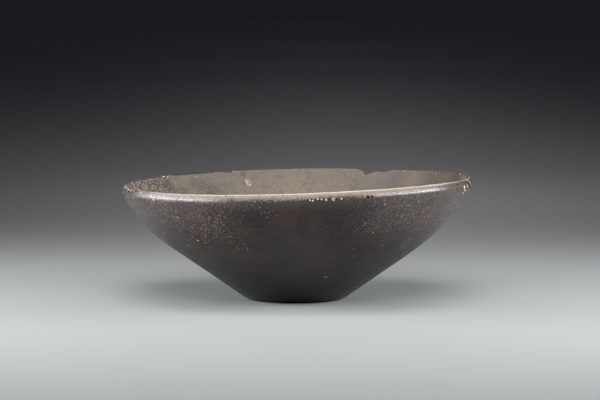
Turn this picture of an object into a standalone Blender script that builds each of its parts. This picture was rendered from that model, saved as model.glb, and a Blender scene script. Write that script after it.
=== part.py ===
"""Shallow hand-built bowl of dark burnished clay.

Metres, +Z up. The origin is the centre of the flat underside, on the ground.
The wall leaves a small flat foot as a straight cone, curves up towards the rim,
and ends in a lip that is bevelled on its outer side. The rim sways: it is
highest at +X and lowest at -X. +Y is the far side.
"""

import math

import bmesh
import bpy
from mathutils import Matrix, Vector

# Heights and radii, to the sharp corners that the rounds below take off
BOWL_HEIGHT = 0.0738
RIM_RADIUS = 0.1106
FOOT_RADIUS = 0.031

# Outer wall
CONE_SLOPE = math.radians(35.0)     # lower wall, from the ground
RIM_SLOPE = math.radians(60.5)      # upper wall, from the ground
WALL_CURVE = 0.105                  # radius of the curve from one slope to the other
FOOT_ROUND = 0.010

# Clay
WALL_THICKNESS = 0.0055
FLOOR_THICKNESS = 0.0070
FLOOR_ROUND = 0.040                 # inside, where the floor turns up into the wall

# Lip
LIP_BEVEL_HEIGHT = 0.0044
LIP_BEVEL_WIDTH = 0.0026
LIP_CORNER_ROUND = 0.0035
CREST_ROUND = 0.0009

# Sway of the rim: (waves in one turn, lift, angle of a high point)
RIM_SWAY = (
    (1, 0.0023, math.radians(0.0)),
    (2, 0.0006, math.radians(135.0)),
    (3, 0.00025, math.radians(-37.0)),
)
SWAY_FROM = 0.35                    # shares of the bowl's height between which
SWAY_TO = 0.70                      # the wall takes up the sway

# Breaks in the crest, seen from inside the bowl: angle of the deepest point,
# depth, and how far the break runs out clockwise and anticlockwise of it
RIM_BREAKS = {
    "far_notch": (math.radians(64.2), 0.0040, 0.0074, 0.0028),
    "far_low_run": (math.radians(58.8), 0.0020, 0.0125, 0.0040),
    "far_step": (math.radians(113.2), 0.0016, 0.0008, 0.0105),
    "far_left_wear": (math.radians(150.0), 0.0008, 0.0045, 0.0060),
    "left_wear": (math.radians(171.0), 0.0010, 0.0070, 0.0085),
    "near_left_wear": (math.radians(203.0), 0.0009, 0.0110, 0.0075),
}
BREAK_SLANT = math.radians(5.0)     # a break runs deeper towards the outside

# Round flakes off the lip: angle, distance down from the crest, width, depth
LIP_FLAKES = {
    "right_flake": (math.radians(-12.0), 0.0016, 0.0062, 0.0013),
    "right_small_flake": (math.radians(-22.0), 0.0040, 0.0036, 0.0011),
    "left_flake": (math.radians(190.0), 0.0012, 0.0070, 0.0012),
    "left_low_flake": (math.radians(199.0), 0.0034, 0.0042, 0.0011),
    "near_flake": (math.radians(292.3), 0.0040, 0.0034, 0.0011),
}

# Facets
SEGMENTS = 108
FOOT_STEPS = 3
WALL_STEPS = 8
LIP_STEPS = 3
CREST_STEPS = 2
FLOOR_STEPS = 4
CUTTER_CLEARANCE = 0.003            # how far a cutter stands clear of the clay


def direction(slope):
    """Unit vector outwards and up at a slope, in the (radius, height) plane."""
    return Vector((math.cos(slope), math.sin(slope)))


def moved_inwards(point, slope, distance):
    """Point moved square to a wall of this slope, from its outer face inwards."""
    return point + distance * Vector((-math.sin(slope), math.cos(slope)))


def crossing(point_a, slope_a, point_b, slope_b):
    """Where two lines of the (radius, height) plane cross."""
    a, b = direction(slope_a), direction(slope_b)
    gap = point_b - point_a
    along = (gap.x * b.y - gap.y * b.x) / (a.x * b.y - a.y * b.x)
    return point_a + along * a


def rounded_outline(corners):
    """Outline through (point, radius, steps) corners, each rounded by an arc.

    A round that is too large for the straight runs beside it is made smaller.
    """
    points = [Vector(point) for point, _, _ in corners]
    runs = [b - a for a, b in zip(points, points[1:])]
    turns = [0.0] * len(points)         # anticlockwise is positive
    reach = [0.0] * len(points)         # from a corner to where its round starts
    for i in range(1, len(points) - 1):
        turns[i] = runs[i].angle_signed(runs[i - 1])
        reach[i] = corners[i][1] * math.tan(abs(turns[i]) / 2)

    outline = [points[0]]
    for i in range(1, len(points) - 1):
        fit = min(
            1.0,
            runs[i - 1].length / (reach[i - 1] + reach[i]),
            runs[i].length / (reach[i] + reach[i + 1]),
        )
        to_centre = (runs[i].normalized() - runs[i - 1].normalized()).normalized()
        radius = corners[i][1] * fit
        centre = points[i] + to_centre * radius / math.cos(turns[i] / 2)
        spoke = points[i] - runs[i - 1].normalized() * reach[i] * fit - centre
        steps = corners[i][2]
        for step in range(steps + 1):
            outline.append(centre + Matrix.Rotation(turns[i] * step / steps, 2) @ spoke)
    outline.append(points[-1])
    return outline


def lip_corner():
    return Vector((RIM_RADIUS, BOWL_HEIGHT - LIP_BEVEL_HEIGHT))


def crest():
    """Outer edge of the crest, above the bevel."""
    return Vector((RIM_RADIUS - LIP_BEVEL_WIDTH, BOWL_HEIGHT))


def bowl_outline():
    """Half section from the middle of the underside, out, over the lip and back in."""
    foot = Vector((FOOT_RADIUS, 0.0))
    lip = lip_corner()
    knee = crossing(foot, CONE_SLOPE, lip, RIM_SLOPE)

    level = 0.0
    inner_foot = moved_inwards(foot, CONE_SLOPE, WALL_THICKNESS)
    inner_lip = moved_inwards(lip, RIM_SLOPE, WALL_THICKNESS)
    inner_knee = crossing(inner_foot, CONE_SLOPE, inner_lip, RIM_SLOPE)
    inner_crest = crossing(inner_lip, RIM_SLOPE, crest(), level)
    floor_middle = Vector((0.0, FLOOR_THICKNESS))
    floor_edge = crossing(floor_middle, level, inner_foot, CONE_SLOPE)

    return rounded_outline([
        ((0.0, 0.0), 0.0, 0),
        (foot, FOOT_ROUND, FOOT_STEPS),
        (knee, WALL_CURVE, WALL_STEPS),
        (lip, LIP_CORNER_ROUND, LIP_STEPS),
        (crest(), CREST_ROUND, CREST_STEPS),
        (inner_crest, CREST_ROUND, CREST_STEPS),
        (inner_knee, WALL_CURVE - WALL_THICKNESS, WALL_STEPS),
        (floor_edge, FLOOR_ROUND, FLOOR_STEPS),
        (floor_middle, 0.0, 0),
    ])


def rim_lift(angle):
    """How far the rim stands above its mean height at an angle from +X."""
    return sum(lift * math.cos(waves * (angle - high)) for waves, lift, high in RIM_SWAY)


def swayed(point, angle):
    """A point of the half section, moved along the wall's slope with the rim's sway."""
    share = (point.y / BOWL_HEIGHT - SWAY_FROM) / (SWAY_TO - SWAY_FROM)
    share = min(max(share, 0.0), 1.0)
    share = share * share * (3 - 2 * share)
    lift = share * rim_lift(angle)
    return point + Vector((lift / math.tan(RIM_SLOPE), lift))


def place_at_rim(point, angle):
    """Frame at a point of the rim: X anticlockwise along it, Y inwards, Z up."""
    moved = swayed(point, angle)
    turn = Matrix.Rotation(angle + math.pi / 2, 4, "Z")
    spot = Vector((moved.x * math.cos(angle), moved.x * math.sin(angle), moved.y))
    return Matrix.Translation(spot) @ turn


def clay_material():
    material = bpy.data.materials.new("burnished clay")
    material.use_nodes = True
    shader = material.node_tree.nodes["Principled BSDF"]
    shader.inputs["Base Color"].default_value = (0.045, 0.037, 0.034, 1.0)
    shader.inputs["Roughness"].default_value = 0.45
    shader.inputs["Metallic"].default_value = 0.0
    return material


def add_object(name, mesh_in_the_making):
    mesh = bpy.data.meshes.new(name)
    mesh_in_the_making.to_mesh(mesh)
    mesh_in_the_making.free()
    made = bpy.data.objects.new(name, mesh)
    bpy.context.scene.collection.objects.link(made)
    return made


def make_bowl():
    """The half section, turned once round +Z, with the rim's sway."""
    making = bmesh.new()
    corners = [making.verts.new((point.x, 0.0, point.y)) for point in bowl_outline()]
    edges = [making.edges.new(pair) for pair in zip(corners, corners[1:])]
    bmesh.ops.spin(
        making, geom=corners + edges, cent=(0, 0, 0), axis=(0, 0, 1),
        angle=2 * math.pi, steps=SEGMENTS,
    )
    bmesh.ops.remove_doubles(making, verts=making.verts, dist=1e-6)
    for vertex in making.verts:
        radius = math.hypot(vertex.co.x, vertex.co.y)
        if radius > 0:
            angle = math.atan2(vertex.co.y, vertex.co.x)
            moved = swayed(Vector((radius, vertex.co.z)), angle)
            vertex.co = (moved.x * math.cos(angle), moved.x * math.sin(angle), moved.y)
    bmesh.ops.recalc_face_normals(making, faces=making.faces)

    bowl = add_object("bowl", making)
    bowl.data.materials.append(clay_material())
    bowl.data.shade_smooth()
    bowl.data.set_sharp_from_angle(angle=math.radians(35))
    return bowl


def make_break_cutter(name, angle, depth, clockwise, anticlockwise):
    """A wedge across the crest: its lower edge follows the break, its top is clear of the clay."""
    reach = WALL_THICKNESS + CUTTER_CLEARANCE
    lean = CUTTER_CLEARANCE / depth
    section = [
        (0.0, -depth),
        (anticlockwise * 0.45, -depth * 0.72),
        (anticlockwise * (1 + lean), depth * lean),
        (-clockwise * (1 + lean), depth * lean),
        (-clockwise * 0.45, -depth * 0.72),
    ]
    making = bmesh.new()
    face = making.faces.new([making.verts.new((x, -reach, z)) for x, z in section])
    run = bmesh.ops.extrude_face_region(making, geom=[face])
    far_side = [item for item in run["geom"] if isinstance(item, bmesh.types.BMVert)]
    bmesh.ops.translate(making, verts=far_side, vec=(0, 2 * reach, 0))
    bmesh.ops.recalc_face_normals(making, faces=making.faces)
    cutter = add_object(name + "_cutter", making)
    cutter.matrix_world = place_at_rim(crest(), angle) @ Matrix.Rotation(BREAK_SLANT, 4, "X")
    return cutter


def make_flake_cutter(name, angle, below_crest, width, depth):
    """A ball that bites into the lip's outer side, as a flake of burnished clay leaves it."""
    ball = (width ** 2 / 4 + depth ** 2) / (2 * depth)
    bevel = lip_corner() - crest()
    wall = -direction(RIM_SLOPE)
    if below_crest < bevel.length:
        spot = crest() + bevel.normalized() * below_crest
        outwards = Vector((-bevel.y, bevel.x)).normalized()
    else:
        spot = lip_corner() + wall * (below_crest - bevel.length)
        outwards = Vector((-wall.y, wall.x))
    centre = spot + outwards * (ball - depth)

    making = bmesh.new()
    bmesh.ops.create_icosphere(making, subdivisions=3, radius=ball)
    cutter = add_object(name + "_cutter", making)
    cutter.matrix_world = place_at_rim(centre, angle)
    return cutter


def cut(body, cutter):
    cutter.hide_render = True
    cutter.display_type = "WIRE"
    boolean = body.modifiers.new(cutter.name, "BOOLEAN")
    boolean.operation = "DIFFERENCE"
    boolean.solver = "EXACT"
    boolean.object = cutter


def main():
    for old in list(bpy.data.objects):
        bpy.data.objects.remove(old, do_unlink=True)
    bowl = make_bowl()
    for name, sizes in RIM_BREAKS.items():
        cut(bowl, make_break_cutter(name, *sizes))
    for name, sizes in LIP_FLAKES.items():
        cut(bowl, make_flake_cutter(name, *sizes))


main()
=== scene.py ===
# Shallow hand-built bowl of dark burnished clay, worn and chipped round its lip
import math

import bpy
import numpy as np
from mathutils import Matrix, Vector, noise


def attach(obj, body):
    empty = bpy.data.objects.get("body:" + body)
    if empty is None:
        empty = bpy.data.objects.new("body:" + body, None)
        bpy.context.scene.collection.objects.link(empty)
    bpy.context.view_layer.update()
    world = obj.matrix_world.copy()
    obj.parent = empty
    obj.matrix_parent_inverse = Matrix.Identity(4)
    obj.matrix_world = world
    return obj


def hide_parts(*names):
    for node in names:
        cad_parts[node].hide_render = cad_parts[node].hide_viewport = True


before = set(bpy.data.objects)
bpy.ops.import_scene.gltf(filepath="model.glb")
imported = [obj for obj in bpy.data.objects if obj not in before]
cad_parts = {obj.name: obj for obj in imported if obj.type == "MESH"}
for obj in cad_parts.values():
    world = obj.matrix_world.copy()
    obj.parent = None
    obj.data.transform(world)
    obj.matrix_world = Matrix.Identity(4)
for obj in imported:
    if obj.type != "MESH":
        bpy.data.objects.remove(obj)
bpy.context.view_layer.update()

bpy.context.scene.view_settings.view_transform = "Standard"
bpy.ops.object.select_all(action="DESELECT")
print("frame loaded")


def linear(hexText):  # an sRGB hex colour, as linear RGBA
    parts = [int(hexText[i:i + 2], 16) / 255 for i in (1, 3, 5)]
    return [part / 12.92 if part < 0.04045 else ((part + 0.055) / 1.055) ** 2.4 for part in parts] + [1.0]


def addNode(material, kind, links=None, **settings):
    made = material.node_tree.nodes.new("ShaderNode" + kind)
    for name, value in settings.items():
        setattr(made, name, value)
    for socket, value in (links or {}).items():
        if isinstance(value, bpy.types.NodeSocket):
            material.node_tree.links.new(value, made.inputs[socket])
        else:
            made.inputs[socket].default_value = value
    return made


def newMaterial(name):
    material = bpy.data.materials.new(name)
    material.use_nodes = True
    return material, material.node_tree.nodes["Principled BSDF"]


def activate(piece):
    bpy.ops.object.select_all(action="DESELECT")
    piece.select_set(True)
    bpy.context.view_layer.objects.active = piece


def applyModifier(piece, kind, **settings):
    activate(piece)
    modifier = piece.modifiers.new(kind.lower(), kind)
    for name, value in settings.items():
        setattr(modifier, name, value)
    bpy.ops.object.modifier_apply(modifier=modifier.name)


def readPoints(piece, what="co"):
    values = np.empty(len(piece.data.vertices) * 3)
    piece.data.vertices.foreach_get(what, values)
    return values.reshape(-1, 3)


def writePoints(piece, points):
    piece.data.vertices.foreach_set("co", points.ravel())
    piece.data.update()


def degreesRound(points):  # angle round the axis from +X, 0 to 360
    return np.degrees(np.arctan2(points[:, 1], points[:, 0])) % 360


def ramp(values, low, high):  # smooth step from 0 to 1; high may be below low
    share = np.clip((values - low) / (high - low), 0, 1)
    return share * share * (3 - 2 * share)


def lumps(points, size, seed):  # one value from -1 to 1 a point, in lumps of this size
    shift = Vector((7.3, 3.1, 5.7)) * seed
    return np.array([noise.noise(Vector(point) / size + shift) for point in points])


# The half section. The sizes are the same as the solid's, in metres
bowlSize = {
    "height": 0.0738,
    "rimRadius": 0.1106,
    "footRadius": 0.031,
    "coneSlope": math.radians(35.0),
    "rimSlope": math.radians(60.5),
    "wallCurve": 0.105,
    "footRound": 0.010,
    "wallThickness": 0.0055,
    "floorThickness": 0.0070,
    "floorRound": 0.040,
    "bevelHeight": 0.0044,
    "bevelWidth": 0.0026,
    "lipRound": 0.0035,
    "crestRound": 0.0009,
    "segments": 288,
    "longestStep": 0.0034,   # between rings of the wall
    "bevelStep": 0.0008,     # between rings of the lip
}

# Sway of the rim: waves in one turn, lift, angle of a high point
rimSway = [
    (1, 0.0023, math.radians(0)),
    (2, 0.0006, math.radians(135)),
    (3, 0.00025, math.radians(-37)),
]
rimRises = [    # short rises and dips: angle, half width, lift
    (math.radians(18), math.radians(13), 0.0018),
    (math.radians(33), math.radians(9), 0.0004),
    (math.radians(101), math.radians(6), -0.0003),
    (math.radians(110), math.radians(5), 0.0006),
]
swayFrom, swayTo = 0.35, 0.70  # shares of the height between which the wall takes it up


def crossLines(pointA, slopeA, pointB, slopeB):
    a = Vector((math.cos(slopeA), math.sin(slopeA)))
    b = Vector((math.cos(slopeB), math.sin(slopeB)))
    gap = pointB - pointA
    return pointA + a * (gap.x * b.y - gap.y * b.x) / (a.x * b.y - a.y * b.x)


def roundedOutline(corners):  # corners are (point, radius, steps)
    points = [Vector(corner[0]) for corner in corners]
    outline = [points[0]]
    for i in range(1, len(points) - 1):
        before, after = points[i] - points[i - 1], points[i + 1] - points[i]
        turn = after.angle_signed(before)
        radius, steps = corners[i][1], corners[i][2]
        toCentre = (after.normalized() - before.normalized()).normalized()
        centre = points[i] + toCentre * radius / math.cos(turn / 2)
        start = points[i] - before.normalized() * radius * math.tan(abs(turn) / 2)
        for step in range(steps + 1):
            outline.append(centre + Matrix.Rotation(turn * step / steps, 2) @ (start - centre))
    outline.append(points[-1])
    return outline


def bowlCorners(size):
    foot = Vector((size["footRadius"], 0))
    lip = Vector((size["rimRadius"], size["height"] - size["bevelHeight"]))
    crest = Vector((size["rimRadius"] - size["bevelWidth"], size["height"]))
    inwards = Vector((-math.sin(size["coneSlope"]), math.cos(size["coneSlope"])))
    innerFoot = foot + inwards * size["wallThickness"]
    inwards = Vector((-math.sin(size["rimSlope"]), math.cos(size["rimSlope"])))
    innerLip = lip + inwards * size["wallThickness"]
    floorMiddle = Vector((0, size["floorThickness"]))
    return {
        "foot": foot,
        "knee": crossLines(foot, size["coneSlope"], lip, size["rimSlope"]),
        "lip": lip,
        "crest": crest,
        "innerCrest": crossLines(innerLip, size["rimSlope"], crest, 0),
        "innerKnee": crossLines(innerFoot, size["coneSlope"], innerLip, size["rimSlope"]),
        "floorEdge": crossLines(floorMiddle, 0, innerFoot, size["coneSlope"]),
        "floorMiddle": floorMiddle,
    }


def bowlOutline(size):  # from the middle of the underside, out, over the lip and back in
    at = bowlCorners(size)
    rough = roundedOutline([
        ((0, 0), 0, 0),
        (at["foot"], size["footRound"], 5),
        (at["knee"], size["wallCurve"], 22),
        (at["lip"], size["lipRound"], 5),
        (at["crest"], size["crestRound"], 3),
        (at["innerCrest"], size["crestRound"], 3),
        (at["innerKnee"], size["wallCurve"] - size["wallThickness"], 22),
        (at["floorEdge"], size["floorRound"], 10),
        (at["floorMiddle"], 0, 0),
    ])
    outline = [rough[0]]
    for start, end in zip(rough, rough[1:]):
        onLip = min(start.y, end.y) > at["lip"].y - 0.003
        longest = size["bevelStep"] if onLip else size["longestStep"]
        parts = math.ceil((end - start).length / longest)
        outline += [start.lerp(end, part / parts) for part in range(1, parts + 1)]
    return outline


def rimLift(angle):
    sway = sum(lift * np.cos(waves * (angle - high)) for waves, lift, high in rimSway)
    return sway + sum(lift * np.exp(-((angle - middle) / half) ** 2) for middle, half, lift in rimRises)


def swayShare(height):
    return ramp(height / bowlSize["height"], swayFrom, swayTo)


def swayRim(piece):  # every point slides along the wall's own slope
    points = readPoints(piece)
    angle = np.arctan2(points[:, 1], points[:, 0])
    lift = swayShare(points[:, 2]) * rimLift(angle)
    points[:, 0] += np.cos(angle) * lift / math.tan(bowlSize["rimSlope"])
    points[:, 1] += np.sin(angle) * lift / math.tan(bowlSize["rimSlope"])
    points[:, 2] += lift
    writePoints(piece, points)


def fromCrest(points, size):  # mm from the crest along the half section: + down outside, - down inside
    outline = np.array([[point.x, point.y] for point in bowlOutline(size)])
    steps = np.diff(outline, axis=0)
    lengths = np.linalg.norm(steps, axis=1)
    start = np.concatenate([[0], np.cumsum(lengths)])
    crest = start[np.argmax(outline[:, 1])]
    angle = np.arctan2(points[:, 1], points[:, 0])
    lift = swayShare(points[:, 2]) * rimLift(angle)
    flat = np.stack([
        np.hypot(points[:, 0], points[:, 1]) - lift / math.tan(size["rimSlope"]),
        points[:, 2] - lift,
    ], axis=1)
    best = np.full(len(flat), 1e9)
    along = np.zeros(len(flat))
    for i, length in enumerate(lengths):
        share = np.clip((flat - outline[i]) @ steps[i] / length ** 2, 0, 1)
        away = np.linalg.norm(flat - outline[i] - share[:, None] * steps[i], axis=1)
        nearer = away < best
        best[nearer] = away[nearer]
        along[nearer] = crest - start[i] - share[nearer] * length
    return along * 1000


def spinBowl(size):  # half section drawn point by point, then spun round the axis
    outline = bowlOutline(size)
    bpy.ops.mesh.primitive_plane_add(size=0.001, location=(0, 0, 0))
    piece = bpy.context.object
    piece.name = piece.data.name = "clayBowl"
    bpy.ops.object.mode_set(mode="EDIT")
    bpy.ops.mesh.select_all(action="SELECT")
    bpy.ops.mesh.merge(type="CENTER")
    for start, end in zip(outline, outline[1:]):
        step = end - start
        bpy.ops.mesh.extrude_region_move(TRANSFORM_OT_translate={"value": (step.x, 0, step.y)})
    bpy.ops.mesh.select_all(action="SELECT")
    bpy.ops.mesh.spin(steps=size["segments"], angle=2 * math.pi, center=(0, 0, 0), axis=(0, 0, 1))
    bpy.ops.mesh.select_all(action="SELECT")
    bpy.ops.mesh.remove_doubles(threshold=0.00001)
    bpy.ops.mesh.normals_make_consistent(inside=False)
    bpy.ops.object.mode_set(mode="OBJECT")
    return piece


def refine(piece, wanted):  # splits into four each face whose middle passes the test
    mesh = piece.data
    middles = np.empty(len(mesh.polygons) * 3)
    mesh.polygons.foreach_get("center", middles)
    chosen = wanted(middles.reshape(-1, 3))
    activate(piece)
    mesh.vertices.foreach_set("select", [False] * len(mesh.vertices))
    mesh.edges.foreach_set("select", [False] * len(mesh.edges))
    mesh.polygons.foreach_set("select", chosen)
    bpy.ops.object.mode_set(mode="EDIT")
    bpy.ops.mesh.select_mode(type="FACE")
    bpy.ops.mesh.subdivide(number_cuts=1)
    bpy.ops.mesh.select_mode(type="VERT")
    bpy.ops.object.mode_set(mode="OBJECT")


# Finer faces where the lip is uneven and where its left end is rough. mm from the crest, degrees
lipBand = (-6.0, 8.0)
roughEnd = {"inside": -13.0, "outside": 3.0, "from": 146.0, "to": 216.0}


def onLip(points):
    down = fromCrest(points, bowlSize)
    return (down > lipBand[0]) & (down < lipBand[1])


def onRoughEnd(points):
    down, angle = fromCrest(points, bowlSize), degreesRound(points)
    inBand = (down > roughEnd["inside"]) & (down < roughEnd["outside"])
    return inBand & (angle > roughEnd["from"]) & (angle < roughEnd["to"])


bowl = spinBowl(bowlSize)
swayRim(bowl)
refine(bowl, onLip)
refine(bowl, onRoughEnd)
print("bowl spun:", len(bowl.data.polygons), "faces")

# Unevenness: lump size, height, mm, and where. The foot stays flat
handMarks = [
    (38.0, 0.26, "wall"),     # hand-built wall, never quite true
    (13.0, 0.10, "wall"),
    (7.0, 0.14, "lip"),
    (2.4, 0.07, "lip"),
    (2.6, 0.24, "rough"),     # spalled left end
    (1.2, 0.17, "rough"),
]


def uneven(piece):
    points = readPoints(piece)
    down, angle = fromCrest(points, bowlSize), degreesRound(points)
    masks = {
        "wall": ramp(points[:, 2], 0.004, 0.016),
        "lip": ramp(np.abs(down - 1), 7.5, 4),
        "rough": ramp(down, -13, -7) * ramp(down, 3.4, 1) * ramp(angle, 146, 164) * ramp(angle, 215, 207),
    }
    push = np.zeros(len(points))
    for seed, (size, height, where) in enumerate(handMarks):
        touched = masks[where] > 0
        push[touched] += masks[where][touched] * height * lumps(points[touched], size / 1000, seed + 1)
    writePoints(piece, points + readPoints(piece, "normal") * push[:, None] / 1000)


uneven(bowl)
print("clay uneven")

# Pastes that show where the burnished skin is gone. Colours, size of their mottling in mm
pastes = {
    "paleGrit": ("#fbf4e6", "#e3d3ba", 1.2),
    "creamPaste": ("#d3c6ad", "#b19c80", 0.9),
    "orangePaste": ("#ab6c50", "#c39a7c", 0.8),
    "tanPaste": ("#b99b81", "#8a7363", 0.8),
    # near-black paste for small hollows and crevices, a painted shade
    "darkPit": ("#151211", "#262120", 0.8),
    "brokenClay": ("#b39478", "#75655a", 1.0),
    "wornClay": ("#85786b", "#3d332d", 1.0),
}
pasteGrain = {
    "roughness": 0.88,
    "mottling": (0.42, 0.62),    # the range of the pattern over which one colour turns to the other
    "strength": 0.5,
    "depth": 0.0002,
}
paste = {}
for name, (main, other, size) in pastes.items():
    # Bare clay of a break, or near-black painted shade for the small hollows: matt and grainy, which tells
    # the eye that it is softer than the skin
    paste[name], shader = newMaterial(name)
    place = addNode(paste[name], "TexCoord").outputs["Object"]
    grain = addNode(paste[name], "TexNoise", {"Vector": place, "Scale": 1000 / size, "Detail": 4.0})
    share = addNode(paste[name], "MapRange", {
        "Value": grain.outputs["Fac"],
        "From Min": pasteGrain["mottling"][0], "From Max": pasteGrain["mottling"][1],
    })
    colour = addNode(paste[name], "MixRGB", {
        "Fac": share.outputs["Result"], "Color1": linear(main), "Color2": linear(other),
    })
    bump = addNode(paste[name], "Bump", {
        "Height": grain.outputs["Fac"], "Strength": pasteGrain["strength"], "Distance": pasteGrain["depth"],
    })
    paste[name].node_tree.links.new(colour.outputs["Color"], shader.inputs["Base Color"])
    paste[name].node_tree.links.new(bump.outputs["Normal"], shader.inputs["Normal"])
    shader.inputs["Roughness"].default_value = pasteGrain["roughness"]

# Breaks through the crest, as seen from inside the bowl: angle, paste, then their lower edge as
# (mm along the rim, mm above the crest), anticlockwise being +
rimBreaks = {
    "farNotch": (64.4, "brokenClay", [
        (-24, 0.7), (-21, -0.1), (-18, -0.9), (-14.3, -1.6), (-11.6, -2.1), (-10.7, -2.1), (-9.7, -1.4),
        (-8.3, -1.5), (-5.5, -2.3), (-3.2, -3.3), (-0.7, -4.2), (0.3, -4.5), (1.0, -4.3), (1.9, -3.4),
        (2.9, -2.2), (3.8, -1.3), (4.7, -0.7), (6.0, -0.3), (8, 0.0), (9, 0.7),
    ]),
    "farStep": (112.9, "brokenClay", [
        (-1.2, 0.7), (-0.3, 0.3), (-0.1, -1.6), (2, -1.75), (4.5, -1.6), (8, -1.5), (10.4, -1.3),
        (10.9, -0.3), (12.0, -0.3), (12.6, -0.9), (15, -0.6), (17, 0.7),
    ]),
    "farLeftWear": (150.0, "wornClay", [
        (-6, 0.7), (-4, -0.8), (-1.5, -1.1), (1.5, -0.9), (4.0, -0.3), (6.5, -0.7), (9, 0.7),
    ]),
    "leftWear": (171.0, "wornClay", [
        (-10, 0.7), (-7, -0.4), (-3, -1.1), (0.5, -0.6), (4, -1.0), (7, -0.5), (10, 0.7),
    ]),
    "nearLeftWear": (200.0, "wornClay", [
        (-17, 0.7), (-13, -0.2), (-9, -0.5), (-5, -0.2), (-1, -0.6), (3, -0.3), (7, -0.6), (11, -0.2),
        (15, 0.7),
    ]),
}
breakShape = {
    "reach": 9.0,            # to either side of the crest
    "top": 6.0,
    "step": 0.5,             # between the points of its floor
    "slant": math.radians(5),
    "lumps": [(2.2, 0.30), (0.9, 0.16)],  # size and height, in its floor
    "lumpyBelow": 0.6,       # the floor is smooth above this, so the ends run out cleanly
}


def breakCutter(name, angle, kind, edge):
    length = edge[-1][0] - edge[0][0]
    bpy.ops.mesh.primitive_grid_add(
        x_subdivisions=int(length / breakShape["step"]),
        y_subdivisions=int(2 * breakShape["reach"] / breakShape["step"]), size=1,
    )
    cutter = bpy.context.object
    cutter.name = name
    points = readPoints(cutter) * (length, 2 * breakShape["reach"], 1)
    points[:, 0] += (edge[-1][0] + edge[0][0]) / 2
    points[:, 2] = np.interp(points[:, 0], [spot[0] for spot in edge], [spot[1] for spot in edge])
    inBreak = np.minimum(1, np.maximum(0, breakShape["lumpyBelow"] - points[:, 2]))
    for seed, (size, height) in enumerate(breakShape["lumps"]):
        points[:, 2] += inBreak * height * lumps(points, size, seed + angle)
    writePoints(cutter, points / 1000)
    bpy.ops.object.mode_set(mode="EDIT")
    bpy.ops.mesh.select_all(action="SELECT")
    bpy.ops.mesh.extrude_region_move(TRANSFORM_OT_translate={"value": (0, 0, breakShape["top"] / 1000)})
    bpy.ops.mesh.select_all(action="SELECT")
    bpy.ops.mesh.normals_make_consistent(inside=False)
    bpy.ops.object.mode_set(mode="OBJECT")

    turn = math.radians(angle)
    lift = float(rimLift(turn))
    radius = bowlSize["rimRadius"] - bowlSize["bevelWidth"] + lift / math.tan(bowlSize["rimSlope"])
    cutter.rotation_euler = (Matrix.Rotation(turn + math.pi / 2, 3, "Z") @ Matrix.Rotation(
        breakShape["slant"], 3, "X")).to_euler()
    cutter.location = (radius * math.cos(turn), radius * math.sin(turn), bowlSize["height"] + lift)
    cutter.data.materials.append(paste[kind])
    return cutter


def joinPieces(pieces):
    activate(pieces[0])
    for piece in pieces:
        piece.select_set(True)
    bpy.ops.object.join()
    bpy.ops.object.transform_apply(location=True, rotation=True, scale=True)
    return bpy.context.object


def cutWith(piece, cutter):
    applyModifier(
        piece, "BOOLEAN", operation="DIFFERENCE", solver="EXACT", material_mode="TRANSFER", object=cutter,
    )
    bpy.data.objects.remove(cutter)


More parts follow.
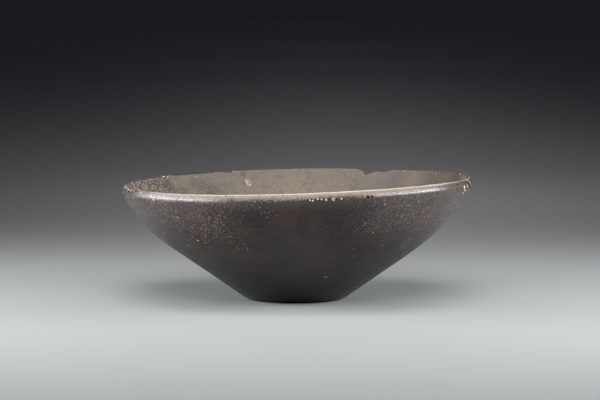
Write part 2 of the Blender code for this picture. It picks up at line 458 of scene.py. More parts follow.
# Chips and scoops out of the skin: side, angle, height of the middle, width, height, depth, mm, lean, paste
chips = [
    # row of nicks along the near lip, each with a near-black scoop beside it as painted shade
    ("outside", 274.6, 70.1, 0.90, 1.80, 0.40, 15, "paleGrit"),
    ("outside", 275.5, 69.8, 1.17, 1.08, 0.35, 30, "paleGrit"),
    ("outside", 273.9, 70.3, 0.9, 1.4, 0.50, 0, "darkPit"),
    ("outside", 275.1, 70.7, 0.9, 1.0, 0.55, 0, "darkPit"),
    ("outside", 275.0, 69.8, 0.5, 0.9, 0.60, 0, "darkPit"),
    ("outside", 277.0, 70.8, 1.26, 0.99, 0.30, 0, "paleGrit"),
    ("outside", 278.1, 70.5, 1.17, 0.90, 0.30, -35, "paleGrit"),
    ("outside", 277.6, 71.1, 0.8, 0.8, 0.45, 0, "darkPit"),
    ("outside", 276.4, 70.6, 0.8, 1.2, 0.45, 0, "darkPit"),
    ("outside", 277.4, 69.8, 1.0, 0.8, 0.45, 0, "darkPit"),
    ("outside", 279.6, 70.2, 1.17, 1.71, 0.42, 25, "paleGrit"),
    ("outside", 279.0, 70.6, 0.9, 1.2, 0.55, 0, "darkPit"),
    ("outside", 280.2, 70.5, 0.9, 1.6, 0.60, 0, "darkPit"),
    ("outside", 281.9, 70.4, 2.07, 2.43, 0.50, 0, "paleGrit"),
    ("outside", 282.1, 70.2, 1.2, 1.6, 0.70, 0, "orangePaste"),
    ("outside", 281.9, 70.2, 0.5, 0.9, 0.85, 0, "darkPit"),
    ("outside", 281.4, 69.8, 1.0, 1.2, 0.60, 0, "darkPit"),
    ("outside", 280.9, 71.0, 0.8, 1.2, 0.50, 0, "darkPit"),
    ("outside", 283.0, 70.6, 0.9, 2.0, 0.50, 0, "darkPit"),
    ("outside", 284.4, 70.7, 1.35, 0.99, 0.32, 0, "paleGrit"),
    ("outside", 283.8, 71.0, 0.9, 0.9, 0.50, 0, "darkPit"),
    ("outside", 285.0, 71.0, 0.8, 1.0, 0.40, 0, "darkPit"),
    ("outside", 286.3, 70.0, 0.8, 0.7, 0.25, 0, "tanPaste"),
    ("outside", 291.2, 71.9, 1.1, 1.1, 0.50, 20, "darkPit"),
    ("outside", 291.9, 71.5, 1.3, 0.9, 0.35, -30, "creamPaste"),
    ("outside", 292.9, 71.5, 2.2, 2.0, 0.60, 0, "darkPit"),
    ("outside", 292.8, 71.7, 0.9, 0.6, 0.65, 0, "tanPaste"),
    ("outside", 294.3, 71.6, 1.5, 1.8, 0.60, 0, "darkPit"),
    ("outside", 247.8, 71.8, 1.3, 0.7, 0.40, 0, "darkPit"),
    ("outside", 266.4, 72.5, 1.0, 0.7, 0.35, 0, "darkPit"),
    ("outside", 258.7, 72.3, 0.9, 0.7, 0.30, 0, "darkPit"),
    ("outside", 264.0, 69.4, 1.1, 0.8, 0.20, 0, "creamPaste"),
    ("outside", 257.6, 69.0, 1.0, 0.8, 0.20, 0, "creamPaste"),
    ("outside", 268.8, 69.6, 0.9, 0.8, 0.20, 0, "tanPaste"),
    # right end of the lip
    ("outside", 348.4, 75.0, 3.6, 5.0, 1.10, -20, "orangePaste"),
    # pale speck on the gash's edge, a painted highlight
    ("outside", 345.6, 75.9, 1.8, 1.8, 0.60, -30, "paleGrit"),
    ("outside", 344.4, 75.0, 2.0, 4.4, 0.90, -30, "darkPit"),
    ("outside", 342.4, 73.0, 2.6, 3.0, 0.70, 10, "creamPaste"),
    ("outside", 345.6, 72.4, 1.8, 2.2, 0.70, -20, "darkPit"),
    ("outside", 349.0, 72.4, 2.4, 1.6, 0.50, -20, "creamPaste"),
    ("outside", 338.7, 72.5, 3.2, 1.9, 0.60, 35, "paleGrit"),
    ("outside", 335.4, 72.6, 1.3, 1.2, 0.45, 0, "darkPit"),
    ("outside", 331.5, 71.6, 1.1, 0.9, 0.35, 0, "darkPit"),
    ("outside", 339.9, 70.5, 2.3, 1.6, 0.40, 0, "paleGrit"),
    ("outside", 339.5, 68.8, 2.6, 1.4, 0.40, 0, "creamPaste"),
    ("outside", 340.3, 68.4, 1.2, 0.9, 0.45, 0, "orangePaste"),
    ("outside", 325.9, 70.7, 1.2, 0.7, 0.25, 0, "darkPit"),
    ("outside", 319.5, 69.9, 1.0, 0.6, 0.20, 0, "darkPit"),
    ("outside", 333.4, 74.9, 3.0, 0.5, 0.20, 0, "darkPit"),
    ("outside", 338.6, 75.6, 4.0, 0.5, 0.20, 0, "darkPit"),
    # left end
    ("outside", 199.8, 70.6, 1.4, 0.9, 0.35, 0, "paleGrit"),
    ("outside", 196.0, 70.6, 5.0, 0.6, 0.30, -6, "paleGrit"),
    ("outside", 190.2, 67.8, 1.6, 1.6, 0.40, 0, "paleGrit"),
    ("outside", 197.2, 66.9, 1.3, 1.6, 0.35, 0, "creamPaste"),
    ("outside", 204.6, 66.0, 1.3, 1.2, 0.30, 0, "creamPaste"),
    ("outside", 194.0, 68.6, 1.4, 1.2, 0.40, 0, "darkPit"),
    ("outside", 198.0, 69.5, 6.0, 0.8, 0.40, -6, "darkPit"),
    ("outside", 209.6, 70.2, 1.1, 1.3, 0.35, 0, "paleGrit"),
    ("outside", 216.4, 69.1, 1.1, 2.8, 0.25, 0, "paleGrit"),
    ("outside", 218.3, 66.9, 1.6, 1.1, 0.30, 0, "paleGrit"),
    ("outside", 216.8, 65.5, 1.1, 1.0, 0.25, 0, "creamPaste"),
    ("outside", 231.8, 67.9, 0.8, 0.7, 0.20, 0, "darkPit"),
    # single spots down the outside
    ("outside", 227.0, 56.9, 1.6, 1.4, 0.25, 0, "creamPaste"),
    ("outside", 226.6, 57.1, 0.8, 0.8, 0.35, 0, "orangePaste"),
    ("outside", 211.4, 45.1, 1.6, 1.2, 0.25, 0, "creamPaste"),
    ("outside", 221.0, 38.0, 1.4, 1.2, 0.22, 0, "creamPaste"),
    ("outside", 244.7, 59.7, 1.5, 1.2, 0.25, 0, "orangePaste"),
    ("outside", 240.0, 45.8, 1.3, 1.0, 0.22, 0, "orangePaste"),
    ("outside", 229.7, 42.4, 2.0, 1.0, 0.22, -20, "creamPaste"),
    ("outside", 232.6, 41.2, 2.2, 0.5, 0.15, -15, "creamPaste"),
    ("outside", 299.6, 66.2, 1.3, 1.1, 0.25, 0, "creamPaste"),
    ("outside", 312.5, 66.9, 2.2, 0.8, 0.25, -40, "creamPaste"),
    ("outside", 309.2, 65.1, 1.2, 0.8, 0.20, 0, "creamPaste"),
    ("outside", 299.3, 48.5, 1.1, 0.9, 0.20, 0, "creamPaste"),
    ("outside", 308.3, 39.3, 1.3, 1.0, 0.22, 0, "orangePaste"),
    ("outside", 288.9, 18.7, 2.5, 1.0, 0.30, 0, "creamPaste"),
    # inside
    ("inside", 108.0, 65.6, 4.0, 6.2, 0.65, 24, "creamPaste"),
    ("inside", 107.6, 65.5, 1.5, 2.6, 0.80, 24, "orangePaste"),
    ("inside", 105.1, 63.3, 1.1, 0.9, 0.20, 0, "orangePaste"),
    ("inside", 111.2, 62.6, 1.0, 0.9, 0.20, 0, "creamPaste"),
    ("inside", 128.4, 70.6, 1.8, 1.2, 0.25, 0, "creamPaste"),
    ("inside", 130.4, 71.6, 1.0, 0.8, 0.25, 0, "tanPaste"),
    ("inside", 84.9, 63.7, 1.1, 1.0, 0.20, 0, "orangePaste"),
    # inner edge of the far crest
    ("inside", 82.3, 73.4, 1.6, 1.0, 0.35, 0, "tanPaste"),
    ("inside", 80.9, 73.5, 1.1, 0.8, 0.30, 0, "orangePaste"),
    ("inside", 79.2, 73.4, 2.0, 1.0, 0.35, 10, "tanPaste"),
    ("inside", 77.4, 73.6, 1.2, 0.8, 0.30, 0, "creamPaste"),
    ("inside", 75.9, 73.6, 2.2, 1.0, 0.35, -10, "tanPaste"),
    ("inside", 73.9, 73.7, 1.2, 0.9, 0.30, 0, "orangePaste"),
    ("inside", 71.6, 73.8, 2.6, 1.0, 0.40, 0, "tanPaste"),
    ("inside", 69.4, 73.8, 1.4, 0.8, 0.35, 0, "creamPaste"),
    ("inside", 60.6, 71.6, 1.4, 1.2, 0.50, 0, "creamPaste"),
    ("inside", 52.6, 73.9, 4.0, 0.8, 0.35, 0, "orangePaste"),
    ("inside", 50.2, 74.1, 3.0, 0.8, 0.35, 0, "orangePaste"),
    ("inside", 112.4, 73.0, 1.0, 1.5, 0.45, 0, "creamPaste"),
    ("inside", 119.8, 72.2, 1.2, 1.2, 0.40, 0, "creamPaste"),
    ("inside", 144.2, 72.1, 2.8, 1.6, 0.50, 0, "paleGrit"),
    ("inside", 142.2, 71.6, 2.2, 1.4, 0.45, 0, "creamPaste"),
    ("inside", 141.6, 71.8, 1.4, 1.1, 0.35, 0, "tanPaste"),
    ("inside", 127.2, 70.0, 0.9, 0.9, 0.25, 0, "tanPaste"),
    ("inside", 48.0, 74.3, 1.8, 0.8, 0.30, 0, "creamPaste"),
    ("inside", 46.0, 74.4, 1.6, 0.8, 0.30, 0, "tanPaste"),
    ("inside", 41.4, 74.4, 1.5, 0.7, 0.30, 0, "tanPaste"),
    ("inside", 38.2, 74.6, 3.0, 0.7, 0.30, 0, "orangePaste"),
    ("inside", 33.6, 74.4, 1.3, 0.9, 0.30, 0, "tanPaste"),
    ("inside", 31.6, 74.2, 1.2, 1.3, 0.35, 0, "creamPaste"),
    ("inside", 30.0, 75.4, 3.2, 0.7, 0.30, 0, "tanPaste"),
    ("inside", 24.0, 75.5, 1.2, 0.6, 0.20, 0, "darkPit"),
    ("inside", 14.0, 76.1, 5.0, 0.8, 0.30, 0, "creamPaste"),
    ("inside", 9.0, 75.8, 4.0, 0.9, 0.35, 0, "tanPaste"),
    ("inside", 4.0, 75.6, 3.0, 1.0, 0.35, 0, "orangePaste"),
    ("inside", 23.0, 73.2, 0.9, 0.6, 0.20, 0, "darkPit"),
    ("inside", 27.5, 71.6, 0.8, 0.6, 0.20, 0, "darkPit"),
]
chipShape = {
    "rounding": 0.87,        # a cap half as deep as its ball's radius has this share of the ball's width
    "unevenness": 0.13,
    "evenPart": 0.3,
}
farOut = 0.2                 # well outside the bowl


def onSurface(piece, side, angle, height):  # where the skin is, and which way it faces
    turn = math.radians(angle)
    spoke = Vector((math.cos(turn), math.sin(turn), 0))
    middle = Vector((0, 0, height / 1000))
    if side == "outside":
        return piece.ray_cast(spoke * farOut + middle, -spoke)[1:3]
    return piece.ray_cast(middle, spoke)[1:3]


def chipCutter(piece, seed, side, angle, height, width, tall, depth, lean, kind):
    place, normal = onSurface(piece, side, angle, height)
    along = Vector((0, 0, 1)).cross(normal).normalized()
    frameAt = Matrix((along, normal.cross(along), normal)).transposed()
    bpy.ops.mesh.primitive_ico_sphere_add(subdivisions=2, radius=1, location=place + normal * depth / 1000)
    cutter = bpy.context.object
    bpy.ops.object.mode_set(mode="EDIT")
    bpy.ops.transform.vertex_random(offset=chipShape["unevenness"], uniform=chipShape["evenPart"], seed=seed)
    bpy.ops.object.mode_set(mode="OBJECT")
    cutter.rotation_euler = (frameAt @ Matrix.Rotation(math.radians(lean), 3, "Z")).to_euler()
    ball = 2000 * chipShape["rounding"]
    cutter.scale = (width / ball, tall / ball, 2 * depth / 1000)
    cutter.data.materials.append(paste[kind])
    return cutter


clay, clayShader = newMaterial("burnishedClay")  # its colours follow once the chips are cut
bowl.data.materials.append(clay)
cutWith(bowl, joinPieces([breakCutter(name, *sizes) for name, sizes in rimBreaks.items()]))
print("crest broken")
cutters = {}
for seed, chip in enumerate(chips):
    cutters.setdefault(chip[-1], []).append(chipCutter(bowl, seed, *chip))
for kind, pieces in cutters.items():
    cutWith(bowl, joinPieces(pieces))
print("lip chipped:", len(bowl.data.polygons), "faces")

# Where the skin differs: side, angle, height, radius in mm, strength
skinPatches = {
    "flecked": [     # small pale specks where grit has broken through
        ("outside", 239, 52, 17, 0.85), ("outside", 232, 44, 12, 0.5), ("outside", 247, 42, 13, 0.35),
        ("outside", 207, 51, 8, 0.6), ("outside", 212, 60, 12, 0.35), ("outside", 225, 62, 12, 0.35),
        ("outside", 319, 56, 16, 0.65), ("outside", 307, 52, 11, 0.5), ("outside", 297, 54, 9, 0.6),
        ("outside", 312, 63, 12, 0.5), ("outside", 323, 39, 7, 0.8), ("outside", 332, 63, 12, 0.4),
        ("outside", 324, 7, 9, 0.5), ("outside", 292, 34, 12, 0.12), ("outside", 260, 66, 14, 0.3),
        ("outside", 200, 64, 16, 0.5), ("outside", 222, 66, 14, 0.5), ("outside", 334, 52, 14, 0.5),
        ("outside", 345, 62, 16, 0.5),
    ],
    "reddened": [    # the skin is thin and the fired body glows through
        ("outside", 241, 40, 17, 0.8), ("outside", 250, 35, 15, 0.8), ("outside", 237, 52, 14, 0.6),
        ("outside", 261, 31.7, 4, 0.8), ("outside", 316, 60, 15, 0.5), ("outside", 305, 29, 12, 0.4),
        ("outside", 253, 50, 12, 0.4), ("outside", 238, 64, 10, 0.4), ("outside", 229, 60, 14, 0.4),
        ("outside", 212, 66, 12, 0.4), ("outside", 330, 60, 16, 0.4),
    ],
    "greyed": [      # smooth blue-black patches
        ("outside", 231.7, 26, 15, 0.9), ("outside", 262, 40, 16, 0.5), ("outside", 293, 58, 12, 0.5),
    ],
    "paintedLightAndWarmDust": [      # paler in the middle of the far side, a painted pool of light, and warmer dust there
        ("inside", 88, 62, 34, 0.9), ("inside", 70, 66, 22, 0.4), ("inside", 106, 64, 18, 0.3),
    ],
    "dulled": [      # thinner dust, the grey clay showing through
        ("inside", 144, 65, 10, 0.8), ("inside", 126, 61, 13, 0.65), ("inside", 137, 61, 9, 0.55),
        ("inside", 151, 67, 8, 0.5), ("inside", 131, 66, 6, 0.35), ("inside", 156, 62, 12, 0.4),
        ("inside", 118, 60, 10, 0.2), ("inside", 109.5, 70, 3, 0.6),
    ],
    "browned": [     # bare brown clay towards the right
        ("inside", 30, 72, 24, 0.55), ("inside", 16, 72, 18, 0.8), ("inside", 50, 64, 14, 0.2),
        ("inside", 146, 70, 12, 0.3),
    ],
}


# How strongly the crest is worn to cream, and how far down its outer corner the dark line along its top
# reaches: angle, share or mm
crestWear = [
    (0, 0), (180, 0), (213, 0), (222, 0.25), (236, 0.4), (249, 0.85), (262, 1), (300, 1), (312, 0.6),
    (326, 0.4), (334, 0.2), (343, 0.1), (360, 0),
]
darkTops = [
    (0, -0.4), (12, -0.3), (30, -1.4), (106.4, -1.4), (107.4, 0.2), (113.0, 0.3), (113.4, -1.4), (119, -1.4),
    (121, 0.1), (136, 0.0), (139, -1.4), (141.5, -1.4), (143, 0.1), (158, 0.1), (163, -0.5), (168, -0.1),
    (178, -0.3), (186, -1.4), (200, -1.4), (211, 0.7), (232, 0.6), (246, 0.2), (255, -0.3),
    (262, -1.4), (286, -1.4), (300, 0.0), (326, 0.1), (334, -0.6), (360, -0.6),
]

# How far down the outside the lip is rubbed pale: angle, mm
lipWidths = [
    (0, 0.8), (60, 0.7), (180, 0.7), (200, 0.7), (214, 1.3), (236, 2.7), (258, 3.3), (276, 3.3), (300, 3.1),
    (316, 2.2), (328, 0.9), (338, 0.45), (360, 0.45),
]


# Stretches along the rim: angle of the middle, outer and inner half width
rimStretches = {
    # the two stretches of the lower lip painted pale as a highlight, and made glossier
    "leftPaintedHighlight": (227, 26, 10),
    "rightPaintedHighlight": (307, 20, 9),
    # stretches of the upper wall at both sides, lightened as a painted sheen
    "leftPaintedSheen": (216, 38, 12),
    "rightPaintedSheen": (322, 36, 12),
    "leftLeather": (218, 42, 22),
    "rightLeather": (325, 42, 20),
}


def alongRim(angle, name):
    middle, outer, inner = rimStretches[name]
    return ramp(np.abs(angle - middle), outer, inner)


storedNames = []


def storeValues(piece, name, values):
    piece.data.attributes.new(name, "FLOAT", "POINT").data.foreach_set("value", values)
    storedNames.append(name)


def storeSkin(piece):
    points = readPoints(piece)
    down, angle = fromCrest(points, bowlSize), degreesRound(points)
    near = ramp(np.sin(np.radians(angle)), 0.05, -0.05)
    width = np.interp(angle, *zip(*lipWidths))
    darkTop = np.interp(angle, *zip(*darkTops))
    dustLine = np.where(darkTop > -1.3, -1.0, 0.2 - 1.1 * near)
    storeValues(piece, "fromCrest", down)
    storeValues(piece, "lipWear", down / width)
    # along the two painted-highlight stretches the buff band is thinner
    leftPaintedHighlight, rightPaintedHighlight = alongRim(angle, "leftPaintedHighlight"), alongRim(angle, "rightPaintedHighlight")
    storeValues(piece, "outward", ramp(down, -0.4, 0.0) * (1 - 0.05 * leftPaintedHighlight - 0.2 * rightPaintedHighlight))
    belowTop = down - np.maximum(darkTop, 0)
    storeValues(piece, "creamed", ramp(belowTop, 1.2, 0.5) * ramp(belowTop, -0.5, 0.0) * near * np.interp(
        angle, *zip(*crestWear)))
    storeValues(piece, "darkCrestLine", ramp(down, darkTop + 0.25, darkTop - 0.15) * ramp(down, -1.2, -0.7))
    storeValues(piece, "dusted", ramp(down, dustLine, dustLine - 0.8))
    storeValues(piece, "roughened", ramp(down, -20, -7) * ramp(down, 4.5, 1) * ramp(angle, 132, 160) * ramp(
        angle, 218, 208))
    # painted sheen: the upper wall at both sides made lighter, where the side lights shine on it
    upper = ramp(points[:, 2], 0.036, 0.066) * (down > 0)
    storeValues(piece, "paintedSheen", upper * (alongRim(angle, "leftPaintedSheen") + alongRim(angle, "rightPaintedSheen")))
    leathery = ramp(points[:, 2], 0.026, 0.062) * (down > 0) * (
        0.15 + 0.85 * alongRim(angle, "leftLeather") + 0.75 * alongRim(angle, "rightLeather"))
    storeValues(piece, "leathery", leathery)
    # painted highlight band on the lower lip, glossier there too
    leftPaintedHighlight = leftPaintedHighlight * ramp(down, 1.2, 3.0) * ramp(down, 6.0, 4.3)
    rightPaintedHighlight = rightPaintedHighlight * ramp(down, 2.0, 3.2) * ramp(down, 5.4, 4.1)
    storeValues(piece, "glossAndPaintedHighlight", leftPaintedHighlight + rightPaintedHighlight)
    for name, spots in skinPatches.items():
        left = np.ones(len(points))
        for side, at, height, radius, strength in spots:
            place, normal = onSurface(piece, side, at, height)
            away = np.linalg.norm(points - np.array(place), axis=1) * 1000
            sameSide = down > 0 if side == "outside" else down < 0
            left *= 1 - strength * ramp(away, radius, radius * 0.2) * sameSide
        if name == "flecked":
            storeValues(piece, "speckShare", np.maximum(0.85 * (1 - left), 0.08 * leathery - 0.015))
            storeValues(piece, "gritShare", np.maximum(0.30 * (1 - left), 0.02 * leathery - 0.005))
        else:
            storeValues(piece, name, 1 - left)


storeSkin(bowl)
activate(bowl)
bpy.ops.object.shade_smooth_by_angle(angle=math.radians(38))
print("skin stored")

# Burnished clay: a hard rubbed skin, dark and satin outside, dulled by dust inside and worn through
# to the pale body along the lip. Sizes of the patterns in mm, then their detail
patternSizes = {
    "cloud": (26.0, 5),
    "fine": (1.0, 4),
    "mottle": (3.2, 4),
    "patch": (24.0, 3),
    "grain": (0.9, 3),
    "leather": (1.5, 3),
    "edge": (5.0, 5),
    "fringe": (0.9, 2),
    "rough": (1.05, 3),
}
streakTall, streaksRound = 1.1, 6.0  # mm, and how many long streaks to a radian
place = addNode(clay, "TexCoord").outputs["Object"]
pattern = {"all": 1.0, "height": addNode(clay, "SeparateXYZ", {"Vector": place}).outputs["Z"]}
for name in storedNames:
    pattern[name] = addNode(clay, "Attribute", attribute_name=name).outputs["Fac"]
# the spalled clay is drawn out along the rim's left end, which runs away along Y
drawn = addNode(clay, "VectorMath", {0: place, 1: (1.0, 0.42, 1.0)}, operation="MULTIPLY").outputs[0]
for name, (size, detail) in patternSizes.items():
    pattern[name] = addNode(clay, "TexNoise", {
        "Vector": drawn if name == "rough" else place, "Scale": 1000 / size, "Detail": float(detail),
    }).outputs["Fac"]

# streaks left by the rubbing stone run round the bowl
flat = addNode(clay, "VectorMath", {0: place, 1: (1.0, 1.0, 0.0)}, operation="MULTIPLY")
spoke = addNode(clay, "VectorMath", {0: flat.outputs[0]}, operation="NORMALIZE")
turned = addNode(clay, "VectorMath", {0: spoke.outputs[0], "Scale": streaksRound}, operation="SCALE")
climb = addNode(clay, "VectorMath", {0: place, 1: (0.0, 0.0, 1000 / streakTall)}, operation="MULTIPLY")
lines = addNode(clay, "VectorMath", {0: turned.outputs[0], 1: climb.outputs[0]}, operation="ADD")
streak = addNode(clay, "TexNoise", {"Vector": lines.outputs[0], "Scale": 1.0, "Detail": 3.0})
pattern["streak"] = streak.outputs[0]

# the edge of the rubbed lip wanders and is grainy: how far it moves, in widths of the lip
lipEdge = pattern["lipWear"]
for name, sway in (("edge", 0.16), ("fringe", 0.38)):
    shift = addNode(clay, "MapRange", {
        "Value": pattern[name], "From Min": 0.3, "From Max": 0.7, "To Min": -sway, "To Max": sway,
    })
    lipEdge = addNode(clay, "Math", {0: lipEdge, 1: shift.outputs[0]}, operation="ADD").outputs[0]
pattern["lipEdge"] = lipEdge

# pits in two sizes, most with a speck of grit left in them and a dark ring round them as painted shade: size
# of share of a cell that they fill, after the size of their cells in mm
speckCore = 0.55             # share of a speck's width where it is at full strength
for name, size, widest in (("speck", 1.1, 0.37), ("grit", 2.3, 0.23)):
    cells = addNode(clay, "TexVoronoi", {"Vector": place, "Scale": 1000 / size})
    picks = addNode(clay, "SeparateColor", {"Color": cells.outputs["Color"]})
    shown = addNode(clay, "Math", {0: picks.outputs[0], 1: pattern[name + "Share"]}, operation="LESS_THAN")
    for kind, reach, least in (("Pit", 1.5, 0.0), ("", 1.0, 0.22), ("Ruddy", 1.0, 0.70)):
        dot = addNode(clay, "MapRange", {
            "Value": cells.outputs["Distance"],
            "From Min": widest * reach, "From Max": widest * reach * speckCore,
        })
        chosen = addNode(clay, "Math", {0: picks.outputs[1], 1: least}, operation="GREATER_THAN")
        dot = addNode(clay, "Math", {0: dot.outputs[0], 1: chosen.outputs[0]}, operation="MULTIPLY")
        dot = addNode(clay, "Math", {0: dot.outputs[0], 1: shown.outputs[0]}, operation="MULTIPLY")
        pattern[name + kind] = dot.outputs[0]

# Layers of the skin, from the fired body up. Where, pattern, the range of it that counts, how much of the
# layer shows at either end, colour, roughness
layers = [
    # clouds of brown and black
    ("all", "cloud", 0.36, 0.64, 0.0, 1.0, "#4b3a36", None),
    ("all", "streak", 0.30, 0.70, 0.0, 1.0, None, 0.38),
    # lighter towards the lip, a painted sheen
    ("all", "fromCrest", 13.0, 4.0, 0.0, 0.56, "#726762", None),
    # painted sheen on the upper wall at both sides
    ("paintedSheen", "fine", 0.36, 0.64, 0.45, 1.0, "#6a615e", None),
    ("reddened", "fine", 0.40, 0.60, 0.15, 0.9, "#56382d", None),
    ("greyed", "all", 0.0, 1.0, 0.0, 1.0, "#2b2a32", None),
    ("all", "streak", 0.48, 0.75, 0.0, 0.3, "#4b423e", None),
    # darker towards the foot: partly painted shade where the wall faces the shadowed floor, partly darker
    # clay
    ("all", "height", 0.060, 0.004, 0.0, 1.0, "#0c0808", None),
    # leathery grain of the upper wall: pale ridges round small dark hollows
    ("leathery", "leather", 0.52, 0.66, 0.0, 0.6, "#8b7e7c", None),
    ("leathery", "leather", 0.46, 0.34, 0.0, 0.6, "#241e1d", None),
    ("all", "fine", 0.5, 0.3, 0.0, 0.18, "#000000", None),
    ("all", "fine", 0.5, 0.7, 0.0, 0.10, "#8d7f76", None),
    # pits: a painted shade ring round each, and the grit in them
    ("all", "speckPit", 0.0, 1.0, 0.0, 0.6, "#1c1716", 0.6),
    ("all", "speck", 0.0, 1.0, 0.0, 1.0, "#cfc2b0", 0.85),
    ("all", "speckRuddy", 0.0, 1.0, 0.0, 1.0, "#b07a60", None),
    ("all", "gritPit", 0.0, 1.0, 0.0, 0.6, "#1c1716", 0.6),
    ("all", "grit", 0.0, 1.0, 0.0, 1.0, "#d6c8b6", 0.85),
    ("all", "gritRuddy", 0.0, 1.0, 0.0, 1.0, "#a8735a", None),
    # lip: polished by handling and glossier along two stretches of its lower edge, where it is also painted
    # pale as a highlight; buff where the skin is rubbed thin, cream where it is rubbed through
    ("glossAndPaintedHighlight", "leather", 0.36, 0.60, 0.45, 1.0, "#c9c1c2", 0.21),
    ("outward", "lipEdge", 1.45, 0.5, 0.0, 1.0, "#bbaa98", 0.42),
    ("creamed", "fine", 0.38, 0.50, 0.65, 1.0, "#f8f0e2", 0.75),
    ("outward", "grain", 0.5, 0.3, 0.0, 0.14, "#000000", None),
    # inside: dust over the clay, warmer and cooler in small patches
    ("dusted", "all", 0.0, 1.0, 0.0, 1.0, "#8d8379", 0.90),
    # painted pool of light, with warmer dust, in the middle of the far side
    ("paintedLightAndWarmDust", "mottle", 0.40, 0.64, 0.2, 0.9, "#a3917e", None),
    ("dusted", "mottle", 0.48, 0.64, 0.0, 0.45, "#9a8676", None),
    ("dusted", "mottle", 0.46, 0.34, 0.0, 0.35, "#716a64", None),
    ("dusted", "patch", 0.52, 0.36, 0.0, 0.40, "#7a7776", None),
    ("dulled", "mottle", 0.62, 0.45, 0.35, 1.0, "#585a59", None),
    ("browned", "all", 0.0, 1.0, 0.0, 1.0, "#5c4e4a", None),
    ("dusted", "grain", 0.5, 0.3, 0.0, 0.15, "#000000", None),
    ("dusted", "grain", 0.5, 0.7, 0.0, 0.14, "#d8cdbf", None),
    # left end: pitted, with pale grit standing in dark hollows
    ("roughened", "mottle", 0.55, 0.42, 0.0, 0.4, "#584d44", 0.85),
    ("roughened", "rough", 0.47, 0.39, 0.0, 0.85, "#332b27", 0.85),
    ("roughened", "rough", 0.54, 0.63, 0.0, 0.85, "#d3c6b1", 0.85),
    # dark line along the top of the crest
    ("darkCrestLine", "fine", 0.38, 0.60, 0.95, 0.6, "#3a2e27", 0.5),
]
colour, gloss = linear("#2d201f"), 0.27
for where, name, low, high, least, most, hexText, roughness in layers:
    share = addNode(clay, "MapRange", {
        "Value": pattern[name], "From Min": low, "From Max": high, "To Min": least, "To Max": most,
    })
    share = addNode(clay, "Math", {0: share.outputs[0], 1: pattern[where]}, operation="MULTIPLY").outputs[0]
    if hexText:
        colour = addNode(clay, "MixRGB", {
            "Fac": share, "Color1": colour, "Color2": linear(hexText),
        }).outputs[0]
    if roughness:
        gloss = addNode(clay, "Mix", {0: share, 2: gloss, 3: roughness}).outputs[0]
clay.node_tree.links.new(colour, clayShader.inputs["Base Color"])
clay.node_tree.links.new(gloss, clayShader.inputs["Roughness"])
clayShader.inputs["IOR"].default_value = 1.37  # rubbed and not glazed, so its shine is weaker than glass's

# relief finer than the mesh: where, pattern, how strong
reliefDepth = 0.00014
relief = [
    ("all", "streak", 0.14),
    ("all", "grain", 0.15),
    ("dusted", "grain", 0.55),
    ("leathery", "leather", 0.8),
    ("glossAndPaintedHighlight", "grain", 0.7),
    ("all", "speck", -0.8),
    ("all", "grit", -1.0),
    ("roughened", "rough", 1.2),
]
height = 0.0
for where, name, strength in relief:
    part = addNode(clay, "Math", {0: pattern[name], 1: pattern[where]}, operation="MULTIPLY").outputs[0]
    height = addNode(clay, "Math", {0: part, 1: strength, 2: height}, operation="MULTIPLY_ADD").outputs[0]
bump = addNode(clay, "Bump", {"Height": height, "Strength": 0.6, "Distance": reliefDepth})
clay.node_tree.links.new(bump.outputs["Normal"], clayShader.inputs["Normal"])

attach(bowl, "root")
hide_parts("bowl")
print("skin coloured")

# Floor, light and camera
studio = {
    "floorSize": 160.0,
    "floorDrop": 0.0002,     # keeps the floor off the underside
    "floorColour": "#c1c4c4",
}
bpy.ops.mesh.primitive_plane_add(size=studio["floorSize"], location=(0, 0, -studio["floorDrop"]))
floor = bpy.context.object
floor.name = "studioFloor"
paper, shader = newMaterial("palePaper")  # matt, so the bowl has a soft shadow and no mirror image
shader.inputs["Base Color"].default_value = linear(studio["floorColour"])
shader.inputs["Roughness"].default_value = 0.7
floor.data.materials.append(paper)

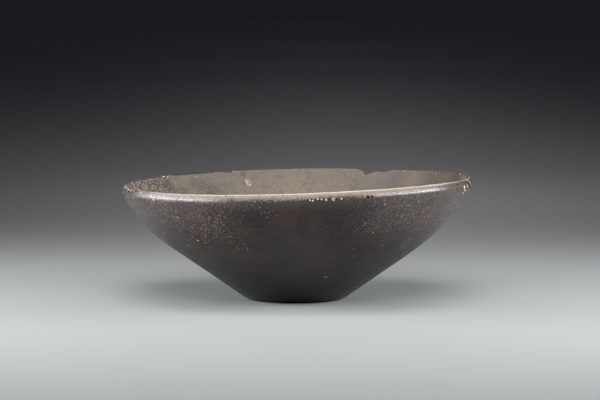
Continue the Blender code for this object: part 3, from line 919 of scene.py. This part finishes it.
# name, place, aimed at, width and depth, beam in degrees, watts, colour
lights = [
    ("overheadBox", (0.0, -0.35, 0.75), (0.0, -0.14, 0.0), (0.9, 0.6), 57, 0.63, "#ffffff"),
    ("frontBox", (0.0, -1.5, 1.15), (0.0, -0.2, 0.0), (1.2, 0.6), 70, 2.14, "#ffffff"),
    ("leftStrip", (-0.6, -0.10, 0.29), (-0.1, -0.1, 0.0), (0.5, 0.12), 100, 1.06, "#fbffff"),
    ("rightStrip", (0.6, -0.10, 0.29), (0.1, -0.1, 0.0), (0.5, 0.12), 100, 1.04, "#fbffff"),
]

# a row of strips looks straight down behind the bowl, so that the floor fades evenly into the dark: place,
# width and depth, watts
backStrips = {
    "A": ((0.07, 0.75, 0.35), (0.3, 0.5), 0.303),
    "B": ((0.07, 1.2, 0.45), (0.3, 0.6), 0.121),
    "C": ((0.07, 1.6, 0.50), (0.1, 0.8), 0.209),
    "D": ((0.07, 2.3, 0.45), (0.1, 0.9), 0.133),
    "E": ((0.07, 3.2, 0.50), (0.1, 1.2), 0.140),
    "F": ((0.08, 4.6, 0.60), (0.1, 1.8), 0.134),
    "G": ((0.10, 6.8, 0.80), (0.1, 2.8), 0.145),
    "H": ((0.12, 11.0, 1.20), (0.1, 6.0), 0.156),
}
for letter, (place, size, watts) in backStrips.items():
    lights.append(("backStrip" + letter, place, (place[0], place[1], 0.0), size, 180, watts, "#fffaff"))

for name, place, aim, (width, depth), beam, watts, colour in lights:
    bpy.ops.object.light_add(type="AREA", location=place)
    light = bpy.context.object
    light.name = name
    light.rotation_euler = (Vector(aim) - Vector(place)).to_track_quat("-Z", "Y").to_euler()
    light.visible_camera = False
    light.data.shape = "RECTANGLE"
    light.data.size, light.data.size_y = width, depth
    light.data.spread = math.radians(beam)
    light.data.energy = watts
    light.data.color = linear(colour)[:3]

world = bpy.data.worlds.new("studioAir")
world.use_nodes = True
air = world.node_tree.nodes["Background"]
air.inputs["Color"].default_value = linear("#e6e4ff")
air.inputs["Strength"].default_value = 0.0215
bpy.context.scene.world = world

view = {
    "back": 1.698,           # from the bowl's axis
    "aside": 0.00297,
    "up": 0.19497,
    "down": math.radians(4.494),
    "lens": 162.77,
}
bpy.ops.object.camera_add(
    location=(view["aside"], -view["back"], view["up"]),
    rotation=(math.radians(90) - view["down"], 0, 0),
)
camera = bpy.context.object
camera.data.lens = view["lens"]
camera.data.sensor_width = 36.0
bpy.context.scene.camera = camera
print("studio set")
